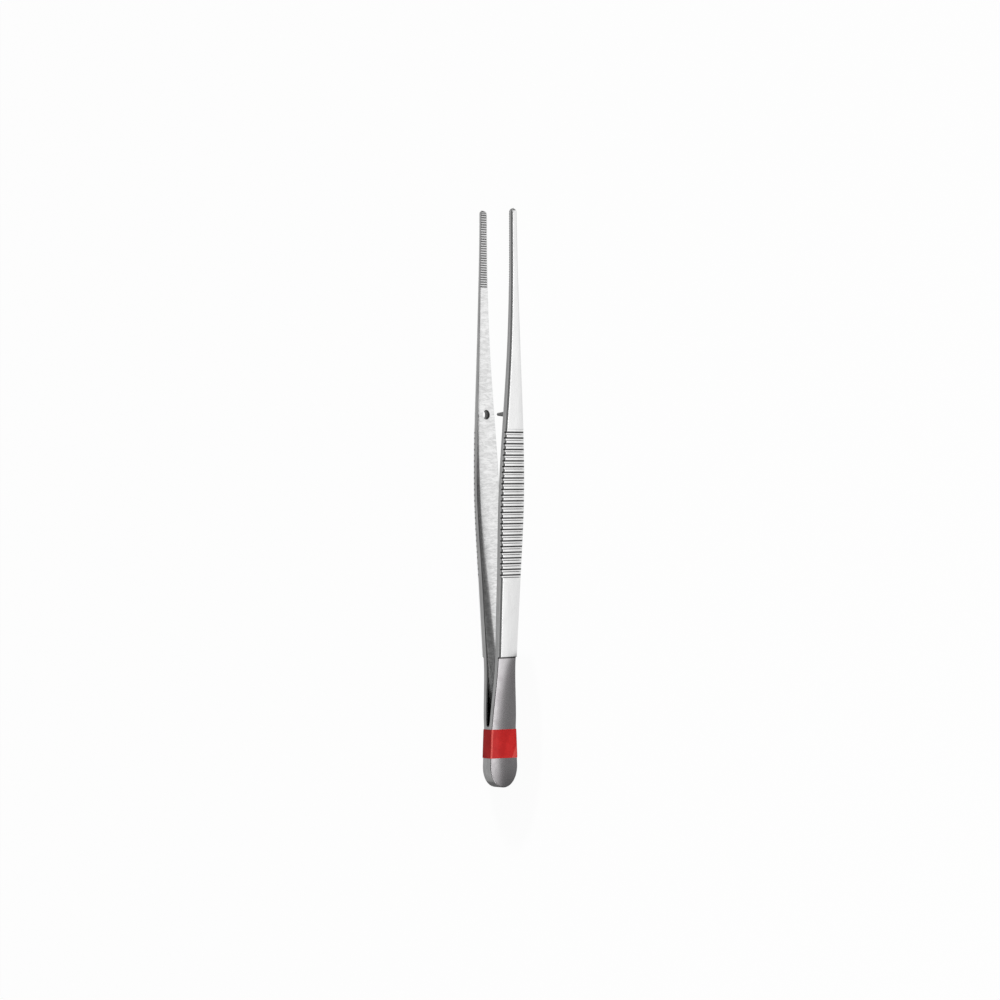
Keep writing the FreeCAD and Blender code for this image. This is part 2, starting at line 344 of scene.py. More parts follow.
def straight_rows():
    """Stations of the rows between the rounded closed end and the corner of the tip."""
    rows = np.concatenate([
        np.arange(ROUND_LENGTH, JOGGLE[0], CLOSED_ROW_STEP),
        np.linspace(*JOGGLE, 13),
        WELD_END + CROTCH_HALF_GAP * ROW_INSETS,
        np.arange(FIRST_ARM_ROW, SHOULDER - SHOULDER_CLEAR, ARM_ROW_STEP),
        [SHOULDER, SHOULDER + SHOULDER_STEP],
        SHOULDER + SHOULDER_LIP * ROW_INSETS[1:],
        np.arange(SHOULDER + PANEL_CLEAR, PANEL_END, ARM_ROW_STEP),
        np.arange(PANEL_END, LENGTH - TIP_LENGTH, BLADE_ROW_STEP),
        PIN_STATION + np.linspace(-HOLE_CLEAR, HOLE_CLEAR, 9),
        np.linspace(LENGTH - TIP_LENGTH, LENGTH - TIP_CORNER, 7),
        notch_rows(outer_x, GRIP_NOTCHES, False),
        notch_rows(inner_x, JAW_NOTCHES, True),
    ])
    rows = np.unique(np.round(rows, 4))
    rows = rows[np.concatenate([[True], np.diff(rows) > LEAST_ROW_STEP])]
    return rows[rows <= LENGTH - TIP_CORNER]


def plan_outline():
    """One side of the arm seen along the opening direction: stations and half widths."""
    round_y, round_z = closed_end_outline()
    rows = straight_rows()
    angle = np.linspace(0, math.pi / 2, 11)[1:]
    tip_y = LENGTH - TIP_CORNER + TIP_CORNER * np.sin(angle)
    tip_z = half_width(LENGTH) - TIP_CORNER + TIP_CORNER * np.cos(angle)
    y = np.concatenate([round_y, rows, tip_y, [LENGTH]])
    z = np.concatenate([round_z, half_width(rows), tip_z, [0.0]])
    return y, z


def outward(y, z):
    """Unit vectors square to the outline, for its +Z side."""
    dy, dz = np.gradient(y), np.gradient(z)
    dy[0], dz[0] = 0, 1
    dy[-1], dz[-1] = 0, -1
    dy[-2], dz[-2] = 0, -1
    size = np.hypot(dy, dz)
    return -dz / size, dy / size


def mesh_from_grid(name, points, zones):
    """A closed skin from rows of points (rows, columns, 3), each row a loop. Equal points are merged.

    zones gives the material number of each column of faces in each row.
    """
    rows, columns, _ = points.shape
    flat = points.reshape(-1, 3)
    keys = np.round(flat, 6)
    _, first, index = np.unique(keys, axis=0, return_index=True, return_inverse=True)
    index = index.reshape(rows, columns)
    faces, materials = [], []
    for r in range(rows - 1):
        below, above = index[r], index[r + 1]
        for c in range(columns):
            d = (c + 1) % columns
            loop = [below[c], below[d], above[d], above[c]]
            corners = [v for i, v in enumerate(loop) if v != loop[i - 1]]
            if len(set(corners)) > 2:
                faces.append(corners)
                materials.append(zones[r, c])
    mesh = bpy.data.meshes.new(name)
    mesh.from_pydata((flat[first] * MM).tolist(), [], faces)
    mesh.polygons.foreach_set("material_index", materials)
    return mesh, first


def placed(points):
    """From the drawing frame to the row frame, still in millimetres."""
    return points + np.array([0, -LENGTH / 2, REST_HEIGHT])


def face_columns(y, z, radius, insets):
    """Points of a face from its -Z edge to its +Z edge: stations, Z, and how far each is inset."""
    normal_y, normal_z = outward(y, z)
    depth = radius[:, None] * insets[None, :]
    edge_y = y[:, None] - normal_y[:, None] * depth
    edge_z = z[:, None] - normal_z[:, None] * depth
    last_z = edge_z[:, -1:]
    middle_y = np.repeat(edge_y[:, -1:], len(ACROSS), axis=1)
    all_y = np.hstack([edge_y, middle_y, edge_y[:, ::-1]])
    all_z = np.hstack([-edge_z, last_z * ACROSS, edge_z[:, ::-1]])
    inset = np.hstack([depth, np.repeat(depth[:, -1:], len(ACROSS), axis=1), depth[:, ::-1]])
    return all_y, all_z, inset


def with_side_columns(rows, outer_count, margin=SIDE_MARGIN):
    """Adds two columns to each side wall, the margin away from its edges, or at them if it is 0."""
    outer, inner = rows[:, :outer_count], rows[:, outer_count:]

    def near(start, end):
        away = end - start
        size = np.linalg.norm(away, axis=2, keepdims=True)
        return start + away * np.minimum(margin / np.maximum(size, 1e-6), LARGEST_MARGIN_SHARE)

    outer_last, inner_first = outer[:, -1:], inner[:, :1]
    inner_last, outer_first = inner[:, -1:], outer[:, :1]
    return np.concatenate([outer, near(outer_last, inner_first), near(inner_first, outer_last), inner,
                           near(inner_last, outer_first), near(outer_first, inner_last)], axis=1)


def inner_rounding(y):
    """Radius of the inner edges: finer on the blade, wider at the tip, almost none along the weld."""
    taper_start, taper_end = INNER_ROUND_TAPER
    finer = np.clip((y - taper_start) / (taper_end - taper_start), 0, 1)
    near_tip = np.clip((y - (LENGTH - TIP_LENGTH)) / TIP_LENGTH, 0, 1)
    radius = INNER_ROUND + (BLADE_INNER_ROUND - INNER_ROUND) * finer + TIP_SIDE_ROUND * near_tip ** 2
    opened = np.clip((y - WELD_END) / WELD_EDGE_FADE, 0, 1)
    return WELD_EDGE_ROUND + (radius - WELD_EDGE_ROUND) * opened


def finish_zones(y, outer_count, inner_count, columns):
    """The material number of each column of faces at the stations y."""
    zones = np.full((len(y), columns), SIDE)
    zones[:, :outer_count - 1] = PANEL
    inner_start, rounding = outer_count + 2, len(INNER_INSETS) - 1
    inner_end = inner_start + inner_count - 1
    zones[:, inner_start:inner_end] = INNER
    zones[y > WELD_END, inner_start:inner_start + rounding] = EDGE
    zones[y > WELD_END, inner_end - rounding:inner_end] = EDGE
    zones[y < SHOULDER - BEFORE_SHOULDER, :outer_count - 1] = HEEL
    return zones


def arm_blank(name, side):
    """The arm without notches. side is 1 for the arm at +X and -1 for its twin."""
    y, z = plan_outline()
    outer_radius = np.where(y <= SHOULDER, HEEL_ROUND, BLADE_ROUND)
    inner_radius = inner_rounding(y)

    out_y, out_z, out_inset = face_columns(y, z, outer_radius, OUTER_INSETS)
    radius = outer_radius[:, None]
    sunk = radius * quarter_round(out_inset / radius)
    crown = np.where(out_y <= SHOULDER + PAST_SHOULDER, HEEL_CROWN * (out_z / CLOSED_HALF_WIDTH) ** 2, 0)
    row_x = np.where(y[:, None] <= SHOULDER, outer_x(np.minimum(out_y, SHOULDER)),
                     outer_x(np.maximum(out_y, SHOULDER + PAST_SHOULDER)))
    out_x = row_x - crown - sunk

    in_y, in_z, in_inset = face_columns(y, z, inner_radius, INNER_INSETS)
    radius = inner_radius[:, None]
    in_sunk = radius * quarter_round(in_inset / radius)
    in_x = inner_x(in_y) + in_sunk

    edge_x = np.maximum(out_x[:, :1], in_x[:, :1] + LEAST_WALL)
    out_x = np.maximum(out_x, edge_x)

    points = np.stack([
        np.hstack([out_x, in_x[:, ::-1]]), np.hstack([out_y, in_y[:, ::-1]]),
        np.hstack([out_z, in_z[:, ::-1]])], axis=2)
    outer_run = run_along(outer_x, out_y)
    outer_run[y < PANEL_END - 1] = OFF_FACE
    inner_run = run_along(inner_x, LENGTH) - run_along(inner_x, in_y[:, ::-1])
    attributes = {
        "outer_run": np.hstack([outer_run, np.full(in_x.shape, OFF_FACE)]),
        "inner_run": np.hstack([np.full(out_x.shape, OFF_FACE), inner_run]),
        "sunk": np.hstack([sunk, in_sunk[:, ::-1]]),
    }

    outer_count, inner_count = out_x.shape[1], in_x.shape[1]
    points = with_side_columns(points, outer_count)
    points[:, :, 0] *= side
    attributes = {key: with_side_columns(values[:, :, None], outer_count, 0.0)
                  for key, values in attributes.items()}
    zones = finish_zones(y, outer_count, inner_count, points.shape[1])
    mesh, kept = mesh_from_grid(name, placed(points), zones)
    for key, values in attributes.items():
        layer = mesh.attributes.new(key, "FLOAT", "POINT")
        layer.data.foreach_set("value", values.reshape(-1)[kept].astype(np.float32))
    if side > 0:
        mesh.flip_normals()
    return mesh


def lathe(name, profile, centre, side, segments=64):
    """A turned solid about a line along X. profile is (x, radius) pairs from end to end."""
    turn = np.linspace(0, 2 * math.pi, segments, endpoint=False)
    x = np.array([p[0] for p in profile])[:, None] * np.ones(segments)
    radius = np.array([p[1] for p in profile])[:, None]
    points = np.stack([x * side, centre + radius * np.cos(turn), radius * np.sin(turn)], axis=2)
    mesh, _ = mesh_from_grid(name, placed(points), np.zeros(x.shape, int))
    return mesh


def piece(name, mesh, materials):
    """A new object at the origin with this mesh and these materials."""
    obj = bpy.data.objects.new(name, mesh)
    bpy.context.scene.collection.objects.link(obj)
    for material in materials:
        mesh.materials.append(material)
    return obj


def facing_outwards(mesh):
    """Turns the skin the right way out if its volume comes out negative."""
    mesh.calc_loop_triangles()
    places = np.array([vertex.co for vertex in mesh.vertices])
    first, second, third = np.array([triangle.vertices for triangle in mesh.loop_triangles]).T
    volumes = np.einsum("ij,ij->i", places[first], np.cross(places[second], places[third]))
    if volumes.sum() < 0:
        mesh.flip_normals()


# Notches along a face

NOTCH_INPUTS = {
    "Geometry": "Geometry", "Along": "String", "Way": "Vector", "Count": "Int", "First": "Float",
    "Pitch": "Float", "Mouth": "Float", "Floor": "Float", "Depth": "Float", "Finish": "Material",
}
RUN_REACH = 0.62


def notch_tree():
    """Geometry Nodes that press a run of notches into a face and give the run its own finish.

    Along names the attribute with each point's distance along the face. A point moves along Way
    by as much as the notch is deeper there than the point already lies. The finish reaches a
    little past the first and the last notch: RUN_REACH of a pitch from their middle lines.
    """
    tree = bpy.data.node_groups.new("Notches along a face", "GeometryNodeTree")
    for name, kind in NOTCH_INPUTS.items():
        tree.interface.new_socket(name, in_out="INPUT", socket_type="NodeSocket" + kind)
    tree.interface.new_socket("Geometry", in_out="OUTPUT", socket_type="NodeSocketGeometry")

    group = tree.nodes.new("NodeGroupInput")
    given = {socket.name: Wire(tree, socket) for socket in group.outputs if socket.name}

    def attribute(name):
        return add_node(tree, "GeometryNodeInputNamedAttribute", {"data_type": "FLOAT"}, {"Name": name})

    along = attribute(given["Along"])
    sunk = attribute("sunk")
    steps = (along - given["First"]) / given["Pitch"]
    number = steps.maths("ROUND", steps).at_least(0).at_most(given["Count"] - 1)
    distance = abs(along - given["First"] - number * given["Pitch"])
    share = distance.ramp(given["Floor"] / 2, given["Mouth"] / 2, 1.0, 0.0)
    extra = (share * given["Depth"] - sunk).at_least(0)
    move = add_node(tree, "ShaderNodeVectorMath", {"operation": "SCALE"},
                    {0: given["Way"], "Scale": extra * MM})
    pressed = add_node(tree, "GeometryNodeSetPosition", {},
                       {"Geometry": given["Geometry"], "Offset": move})
    realised = add_node(tree, "GeometryNodeRealizeInstances", {}, {"Geometry": pressed})
    in_run = distance.maths("LESS_THAN", distance, given["Pitch"] * RUN_REACH)
    finished = add_node(tree, "GeometryNodeSetMaterial", {},
                        {"Geometry": realised, "Selection": in_run, "Material": given["Finish"]})
    add_node(tree, "NodeGroupOutput", {}, {0: finished})
    return tree


def press_notches(obj, tree, along, way, notches, finish):
    """Gives obj a modifier with one run of notches."""
    modifier = obj.modifiers.new("Notches", "NODES")
    modifier.node_group = tree
    values = {"Along": along, "Way": way, "Finish": finish, **notches}
    for item in tree.interface.items_tree:
        if item.in_out == "INPUT" and item.name in values:
            modifier[item.identifier] = values[item.name]


def cut_away(obj, mesh):
    """A Boolean cut of obj by a mesh. Gives the cutter, to be removed once the cut is made."""
    facing_outwards(mesh)
    cutter = piece(mesh.name, mesh, [bore_steel])
    modifier = obj.modifiers.new("Cut", "BOOLEAN")
    modifier.operation = "DIFFERENCE"
    modifier.solver = "EXACT"
    modifier.material_mode = "TRANSFER"
    modifier.object = cutter
    return cutter


def made_plain(obj, cutter):
    """Replaces the mesh of obj by what its modifiers give, and removes them and the cutter."""
    bpy.context.view_layer.update()
    evaluated = obj.evaluated_get(bpy.context.evaluated_depsgraph_get())
    mesh = bpy.data.meshes.new_from_object(evaluated)
    obj.modifiers.clear()
    obj.data = mesh
    mesh.name = obj.name
    bpy.data.objects.remove(cutter)
    return mesh


def smooth_but_sharp(mesh, degrees):
    """Smooth shading, with edges kept that are sharper than the angle."""
    mesh.shade_smooth()
    mesh.set_sharp_from_angle(angle=math.radians(degrees))


# Materials


def new_material(name):
    """A material with an empty node tree, and the tree."""
    material = bpy.data.materials.new(name)
    material.use_nodes = True
    tree = material.node_tree
    tree.nodes.clear()
    return material, tree


def finish_material(tree, constants, varying):
    """The shader: constants on its own sockets, links for what changes over the surface."""
    shader = add_node(tree, "ShaderNodeBsdfPrincipled", {}, {**constants, **varying}, "BSDF")
    add_node(tree, "ShaderNodeOutputMaterial", {}, {"Surface": shader})


def position(tree):
    """Object coordinates in millimetres, as a vector and as its three numbers."""
    place = add_node(tree, "ShaderNodeTexCoord", {}, {}, "Object")
    place = add_node(tree, "ShaderNodeVectorMath", {"operation": "SCALE"}, {0: place, "Scale": 1 / MM})
    return place, numbers_of(place)


def station_along(tree):
    """Distance from the closed end, millimetres."""
    _, (_, y, _) = position(tree)
    return y + LENGTH / 2


def noise(tree, place, stretch, detail=2.0, roughness=0.55, distortion=0.0):
    """Noise whose grain is stretched: one number per axis, in cycles per millimetre."""
    scaled = add_node(tree, "ShaderNodeVectorMath", {"operation": "MULTIPLY"}, {0: place, 1: stretch})
    return add_node(tree, "ShaderNodeTexNoise", {"noise_dimensions": "3D"},
                    {"Vector": scaled, "Scale": 1.0, "Detail": detail, "Roughness": roughness,
                     "Distortion": distortion}, "Fac")


def blend(tree, factor, first, second):
    """The first colour where the factor is 0, the second where it is 1."""
    return add_node(tree, "ShaderNodeMix", {"data_type": "RGBA"}, {0: factor, 6: first, 7: second}, 2)


def bump(tree, height, strength, distance):
    """Normals tilted by the height. The distance is in metres."""
    return add_node(tree, "ShaderNodeBump", {},
                    {"Height": height, "Strength": strength, "Distance": distance})


def place_in_notch(tree, run, notches):
    """Distance from the middle line of the nearest notch, along the run."""
    along = add_node(tree, "ShaderNodeAttribute", {"attribute_name": run}, {}, "Fac")
    steps = (along - notches["First"]) / notches["Pitch"]
    return along - notches["First"] - steps.maths("ROUND", steps) * notches["Pitch"]


def strip(offset, low, high, soft):
    """1 between low and high, fading to 0 over soft."""
    return offset.ramp(low - soft, low) * (1 - offset.ramp(high, high + soft))


# Painted shade: where it starts and ends, millimetres, and how dark it is
TIP_WALL = (0.1, 0.46)
TIP_WALL_SHADE = 0.95
HEEL_WALL = (-0.42, -0.32)
HEEL_WALL_SHADE = 0.35
WALL_SOFTNESS = 0.05
TOOTH_SPACE = (0.05, 0.24)
TOOTH_SHADE = 0.5
BELOW_SHOULDER = 0.22
ABOVE_SHOULDER = 0.1
SHOULDER_SOFTNESS = 0.12
SHOULDER_SHADE = 0.85
EDGE_STATIONS = (74, 92)
EDGE_SHADE = 0.72
CROTCH_STATIONS = (19, 29)
CROTCH_SHADE = 0.4


def ridge_shade(tree):
    """Painted shade on the walls of the grip notches: the wall nearer the tip gets the most of it."""
    offset = place_in_notch(tree, "outer_run", GRIP_NOTCHES)
    tip_wall = strip(offset, *TIP_WALL, WALL_SOFTNESS)
    heel_wall = strip(offset, *HEEL_WALL, WALL_SOFTNESS)
    return tip_wall * TIP_WALL_SHADE + heel_wall * HEEL_WALL_SHADE


def tooth_shade(tree):
    """Painted shade in the spaces between the jaw teeth."""
    offset = place_in_notch(tree, "inner_run", JAW_NOTCHES)
    return abs(offset).ramp(*TOOTH_SPACE, TOOTH_SHADE, 0.0)


def shoulder_shade(tree):
    """Painted shade in the corner under the shoulder and on its lip."""
    start, end = SHOULDER - BELOW_SHOULDER, SHOULDER + ABOVE_SHOULDER
    return strip(station_along(tree), start, end, SHOULDER_SOFTNESS) * SHOULDER_SHADE


def edge_shade(tree):
    """Painted shade: the inner edge roundings of the grips and the spring are painted darker than those of
    the blades.
    """
    return station_along(tree).ramp(*EDGE_STATIONS, EDGE_SHADE, 0.0)


def crotch_shade(tree):
    """Painted shade on the inner faces towards the crotch, where the arms close in."""
    return station_along(tree).ramp(*CROTCH_STATIONS, CROTCH_SHADE, 0.0)


def grey(value, warm=0.0):
    """A grey, or a slightly pink one where warm isn't 0."""
    return (value * (1 + warm), value, value * (1 + warm * 0.6), 1.0)


PAINTED_SHADE_GREY = 0.03
LINES_IN_COLOUR = 0.45
PATCHES_IN_COLOUR = 0.55
COLOUR_CONTRAST = (0.34, 0.66)
LINES_IN_ROUGHNESS = 0.18
PATCHES_IN_ROUGHNESS = 0.1


def steel(name, bright, dark, roughness, grain, marks, bump_depth=0.004, shade=None):
    """Steel with fine grinding lines and larger soft marks.

    bright and dark are the greys that the marks mix. grain and marks are noise stretches, bump_depth
    is in millimetres, and shade gives how much painted shade lies at each place.
    """
    material, tree = new_material(name)
    place, _ = position(tree)
    lines = noise(tree, place, grain, detail=4.0, roughness=0.6)
    patches = noise(tree, place, marks, roughness=0.5, distortion=0.6)
    mix = (lines * LINES_IN_COLOUR + patches * PATCHES_IN_COLOUR).ramp(*COLOUR_CONTRAST)
    colour = blend(tree, mix, dark, bright)
    # Painted shade: where shade gives it, the colour goes towards a near-black grey.
    if shade:
        colour = blend(tree, shade(tree), colour, grey(PAINTED_SHADE_GREY))
    rough = roughness + (0.5 - lines) * LINES_IN_ROUGHNESS + (0.5 - patches) * PATCHES_IN_ROUGHNESS
    normal = bump(tree, lines, 0.5, bump_depth * MM)
    finish_material(tree, {"Metallic": 1.0, "Specular IOR Level": 0.5},
                    {"Base Color": colour, "Roughness": rough, "Normal": normal})
    return material


panel_steel = steel("satin_panel_steel", bright=grey(0.95), dark=grey(0.88), roughness=0.25,
                    grain=(5, 0.5, 6), marks=(0.6, 0.12, 0.6), shade=shoulder_shade)
side_steel = steel("polished_side_steel", bright=grey(0.74), dark=grey(0.62), roughness=0.22,
                   grain=(7, 0.5, 5), marks=(0.7, 0.2, 0.7))
inner_steel = steel("ground_inner_steel", bright=grey(0.91), dark=grey(0.68), roughness=0.13,
                    grain=(0.6, 3.2, 0.9), marks=(0.3, 1.3, 0.4), bump_depth=0.006, shade=crotch_shade)
# Painted shade: the inner edge roundings get darker greys than the inner faces.
edge_steel = steel("edge_steel_with_painted_shade", bright=grey(0.74), dark=grey(0.62), roughness=0.3,
                   grain=(7, 0.5, 5), marks=(0.7, 0.2, 0.7), shade=edge_shade)
heel_steel = steel("satin_heel_steel", bright=grey(0.76, 0.03), dark=grey(0.66, 0.05), roughness=0.26,
                   grain=(5, 0.8, 5), marks=(0.5, 0.35, 0.4), bump_depth=0.001, shade=shoulder_shade)
ridge_steel = steel("ridged_grip_steel", bright=grey(0.96), dark=grey(0.88), roughness=0.22,
                    grain=(3, 3, 0.6), marks=(0.6, 0.3, 0.4), shade=ridge_shade)
jaw_steel = steel("serrated_jaw_steel", bright=grey(0.8), dark=grey(0.66), roughness=0.32,
                  grain=(3, 4, 0.8), marks=(0.5, 0.8, 0.4), shade=tooth_shade)
# Painted shade: the bore gets dark greys, darker than any other steel, for the shade inside the hole.
bore_steel = steel("drilled_bore_steel", bright=grey(0.3), dark=grey(0.16), roughness=0.45,
                   grain=(0.6, 5, 5), marks=(0.6, 0.6, 0.6))
pin_steel = steel("turned_pin_steel", bright=grey(0.4), dark=grey(0.26), roughness=0.28,
                  grain=(7, 0.4, 0.4), marks=(1, 0.6, 0.6), bump_depth=0.008)

DEEP_RED = (0.41, 0.012, 0.012, 1)
CLEAR_RED = (0.49, 0.018, 0.017, 1)
PALE_RED = (0.72, 0.13, 0.11, 1)
OUTER_FACE_X = (1.3, 1.5)
EDGE_HIGHLIGHT_FROM = (-0.34, -0.16)
EDGE_HIGHLIGHT_TO = (0.06, 0.14)
EDGE_HIGHLIGHT_PALE = 0.7
TAPE_END_SLANT = 0.51
TAPE_END_HEIGHT = (5.95, 6.1)
TAPE_END_PALE = 0.4


def red_wrap():
    """Glossy tape, with a painted highlight along its upper edge, and paler at the corner of its end."""
    material, tree = new_material("glossy_red_wrap")
    place, (x, y, z) = position(tree)
    station = y + LENGTH / 2
    cloud = noise(tree, place, (0.35, 0.25, 0.3))
    peel = noise(tree, place, (1.6, 1.6, 1.6))
    colour = blend(tree, cloud.ramp(0.35, 0.7), DEEP_RED, CLEAR_RED)
    upper_edge = station * TAPER_SLOPE + (REST_HEIGHT + CLOSED_HALF_WIDTH - TAPER_SLOPE * ROUND_LENGTH)
    above_edge = z - upper_edge
    outer_face = x.ramp(*OUTER_FACE_X)
    # Painted highlight: a paler strip along the band's upper edge on its outer face.
    edge_highlight = above_edge.ramp(*EDGE_HIGHLIGHT_FROM) * (1 - above_edge.ramp(*EDGE_HIGHLIGHT_TO)) * outer_face
    tape_end = (z + station * TAPE_END_SLANT).ramp(*TAPE_END_HEIGHT, 1.0, 0.0) * outer_face
    pale = (edge_highlight * EDGE_HIGHLIGHT_PALE + tape_end * TAPE_END_PALE).at_most(1)
    colour = blend(tree, pale, colour, PALE_RED)
    rough = 0.3 + (peel - 0.5) * 0.15
    normal = bump(tree, peel * 0.6 + cloud + tape_end * 2, 0.35, 0.02 * MM)
    coat = 0.1 + cloud * 0.15
    finish_material(tree, {"Coat Roughness": 0.1, "Specular IOR Level": 0.2},
                    {"Base Color": colour, "Roughness": rough, "Normal": normal, "Coat Weight": coat})
    return material


# The object


def seat_profile(inside):
    """The blind seat of the guide pin, sunk into the inner face."""
    start, floor = inside - CUTTER_OVERRUN, inside + SEAT_DEPTH
    radius = PIN_RADIUS + SEAT_CLEARANCE
    return [(start, 0), (start, radius), (floor, radius), (floor, 0)]


def hole_profile(inside, outside):
    """The through hole of the guide pin, with both of its edges broken."""
    start, end = inside - CUTTER_OVERRUN, outside + CUTTER_OVERRUN
    flare = HOLE_RADIUS + HOLE_EDGE_BREAK
    return [(start, 0), (start, flare + CUTTER_OVERRUN), (inside, flare),
            (inside + HOLE_EDGE_BREAK, HOLE_RADIUS), (outside - HOLE_EDGE_BREAK, HOLE_RADIUS),
            (outside, flare), (end, flare + CUTTER_OVERRUN), (end, 0)]


def make_arm(name, side, tree):
    """An arm with its ridges, its teeth, and the seat (side 1) or the hole (side -1) of the pin."""
    obj = piece(name, arm_blank(name, side), [heel_steel, panel_steel, side_steel, inner_steel, edge_steel])
    press_notches(obj, tree, "outer_run", (-side, 0.0, 0.0), GRIP_NOTCHES, ridge_steel)
    press_notches(obj, tree, "inner_run", (side, 0.0, 0.0), JAW_NOTCHES, jaw_steel)
    inside = float(inner_curve(PIN_STATION))
    outside = float(outer_curve(PIN_STATION))
    profile = seat_profile(inside) if side > 0 else hole_profile(inside, outside)
    cutter = cut_away(obj, lathe("hole_cutter", profile, PIN_STATION, side))
    smooth_but_sharp(made_plain(obj, cutter), degrees=48)
    return obj


def make_pin():
    """The guide pin: a ball tip, a taper, and a straight shank down to the floor of its seat."""
    root = float(inner_curve(PIN_STATION))
    tip = root - PIN_REACH
    turn = np.linspace(0, math.pi / 2, 8)
    ball = [(tip + PIN_TIP_RADIUS * (1 - math.cos(t)), PIN_TIP_RADIUS * math.sin(t)) for t in turn]
    shank = [(root - PIN_STRAIGHT, PIN_RADIUS), (root - PIN_RING, PIN_RADIUS),
             (root + SEAT_DEPTH, PIN_RADIUS), (root + SEAT_DEPTH, 0)]
    mesh = lathe("turned_guide_pin", ball + shank, PIN_STATION, side=1, segments=48)
    facing_outwards(mesh)
    obj = piece("turned_guide_pin", mesh, [pin_steel])
    smooth_but_sharp(mesh, degrees=40)
    return obj


def crowned(x, z):
    """The distance x of a point of the outer face, less what the crown takes off at the height z."""
    return x - HEEL_CROWN * (z / CLOSED_HALF_WIDTH) ** 2


def band_loop(station, skin):
    """Points (X, Z) round both arms at one station, standing out by skin."""
    width = half_width(station) + skin
    face = float(outer_x(np.array(station))) + skin
    radius = HEEL_ROUND + skin
    turn = np.linspace(0, math.pi / 2, 7)
    quarter = [(face + radius * (math.sin(t) - 1), width + radius * (math.cos(t) - 1)) for t in turn]
    across = np.linspace(-1, 1, 15)[1:-1] * (width - radius)
    points = []
    for x_sign, z_sign in ((1, 1), (1, -1), (-1, -1), (-1, 1)):
        arc = quarter if x_sign == z_sign else quarter[::-1]
        points += [(x_sign * crowned(x, z), z_sign * z) for x, z in arc]
        if x_sign == z_sign:
            points += [(x_sign * crowned(face, z), -z_sign * z) for z in across]
    return points


def band_row(station, skin):
    """Points of one row of the band, a little skewed along the forceps."""
    loop = np.array(band_loop(station, skin))
    return np.stack([loop[:, 0], station + loop[:, 1] * BAND_SKEW, loop[:, 1]], axis=1)


def make_band():
    """The wrapped band: a closed skin with rounded edges, just clear of both arms."""
    shares = np.linspace(0, 1, 25)
    stations = BAND_START + BAND_WIDTH * shares
    low = BAND_EDGE_ROUND * quarter_round(np.minimum(shares, 1 - shares) / BAND_EDGE_SHARE)
    outer = [band_row(station, BAND_THICKNESS - drop) for station, drop in zip(stations, low)]
    inner = [band_row(station, BAND_CLEARANCE) for station in stations]
    points = np.array(outer + inner[::-1] + outer[:1])
    mesh, _ = mesh_from_grid("red_marking_band", placed(points), np.zeros(points.shape[:2], int))
    facing_outwards(mesh)
    obj = piece("red_marking_band", mesh, [red_wrap()])
    smooth_but_sharp(mesh, degrees=50)
    return obj


notches = notch_tree()
arm_with_pin = make_arm("dressed_arm_with_pin", 1, notches)
arm_with_hole = make_arm("dressed_arm_with_hole", -1, notches)
guide_pin = make_pin()
band = make_band()
for obj, node, slot in ((arm_with_pin, "arm_with_pin", "satin_steel"),
                        (arm_with_hole, "arm_with_hole", "satin_steel"),
                        (guide_pin, "guide_pin", "pin_steel"), (band, "colour_band", "red_band")):
    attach(obj, "root")
    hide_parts(node)


# Studio

# Floor, metres. Its brightness in the steel falls off under the closed end, past both ends of the
# forceps, beside the arm at +X and close to whatever stands on it.
FLOOR_HALF_SIZE = 3.0
FLOOR_GAP = 0.00002
FLOOR_SHOWN = 0.97
PAPER_GREY = 0.85
REST_STATION = 12 * MM
REST_NARROWING = 0.356
REST_EDGE = (0.0088, 0.011)
REST_SHADE = 0.78
REST_END = (-0.041, -0.038)
REST_SHADOW = 0.02
BEYOND_TIPS = (0.073, 0.078)
BEYOND_CLOSED_END = (-0.079, -0.065)
BEYOND_SHADE = 0.85
BESIDE_ARM = (0.005, 0.0085, 0.0035)
BESIDE_SHADE = 0.17
CORNER_REACH = 0.003
CORNER_OPEN = 0.6
CORNER_LIGHT = 0.25

# Room, by direction: 1 is white
CEILING = 0.42
HORIZON = 0.1
RIGHT_HORIZON = 1.6
HORIZON_HEIGHT = (0.08, 0.4)
RIGHT_START = (0.0, 0.6)
ENDS_START = (0.45, 0.9)
ENDS_LIGHT = 0.5
FRONT_WAY = (0.5, 0.0, 0.866)
FRONT_START = (0.5, 0.9)
FRONT_LIGHT = 0.3

# Camera, metres and degrees
CAMERA_DISTANCE = 0.85
CAMERA_ALONG = 0.00587
AIM_RIGHT = 0.00025
AIM_ALONG = -0.0004
CAMERA_LEAN = 0.22
SENSOR_WIDTH = 36.0
PIXELS_PER_MM = 3.985
IMAGE_WIDTH = 1000


def light_in_steel(tree, place):
    """How bright the floor is to the first reflection, and the darker patch under the closed end."""
    across, along, _ = numbers_of(place)
    narrowed = add_node(tree, "ShaderNodeVectorMath", {"operation": "MULTIPLY"},
                        {0: place, 1: (1, REST_NARROWING, 0)})
    rest_place = (0.0, (cad_box[0][1] + REST_STATION) * REST_NARROWING, 0.0)
    from_rest = add_node(tree, "ShaderNodeVectorMath", {"operation": "DISTANCE"},
                         {0: narrowed, 1: rest_place}, "Value")
    # Painted shadows in the floor's glow: a patch under the closed end (faintly also to the camera), past
    # both ends, a strip beside the arm at +X, and ambient occlusion in the corners.
    rest = from_rest.ramp(*REST_EDGE, REST_SHADE, 0.0) * along.ramp(*REST_END, 1.0, 0.0)
    beyond = along.ramp(*BEYOND_TIPS, 0.0, BEYOND_SHADE) + along.ramp(*BEYOND_CLOSED_END, BEYOND_SHADE, 0.0)
    beside = strip(across, *BESIDE_ARM) * BESIDE_SHADE
    open_share = add_node(tree, "ShaderNodeAmbientOcclusion", {"samples": 6},
                          {"Distance": CORNER_REACH}, "AO")
    corner = open_share.ramp(0.0, CORNER_OPEN, CORNER_LIGHT, 1.0)
    return (1 - rest) * corner * (1 - beyond) * (1 - beside), rest


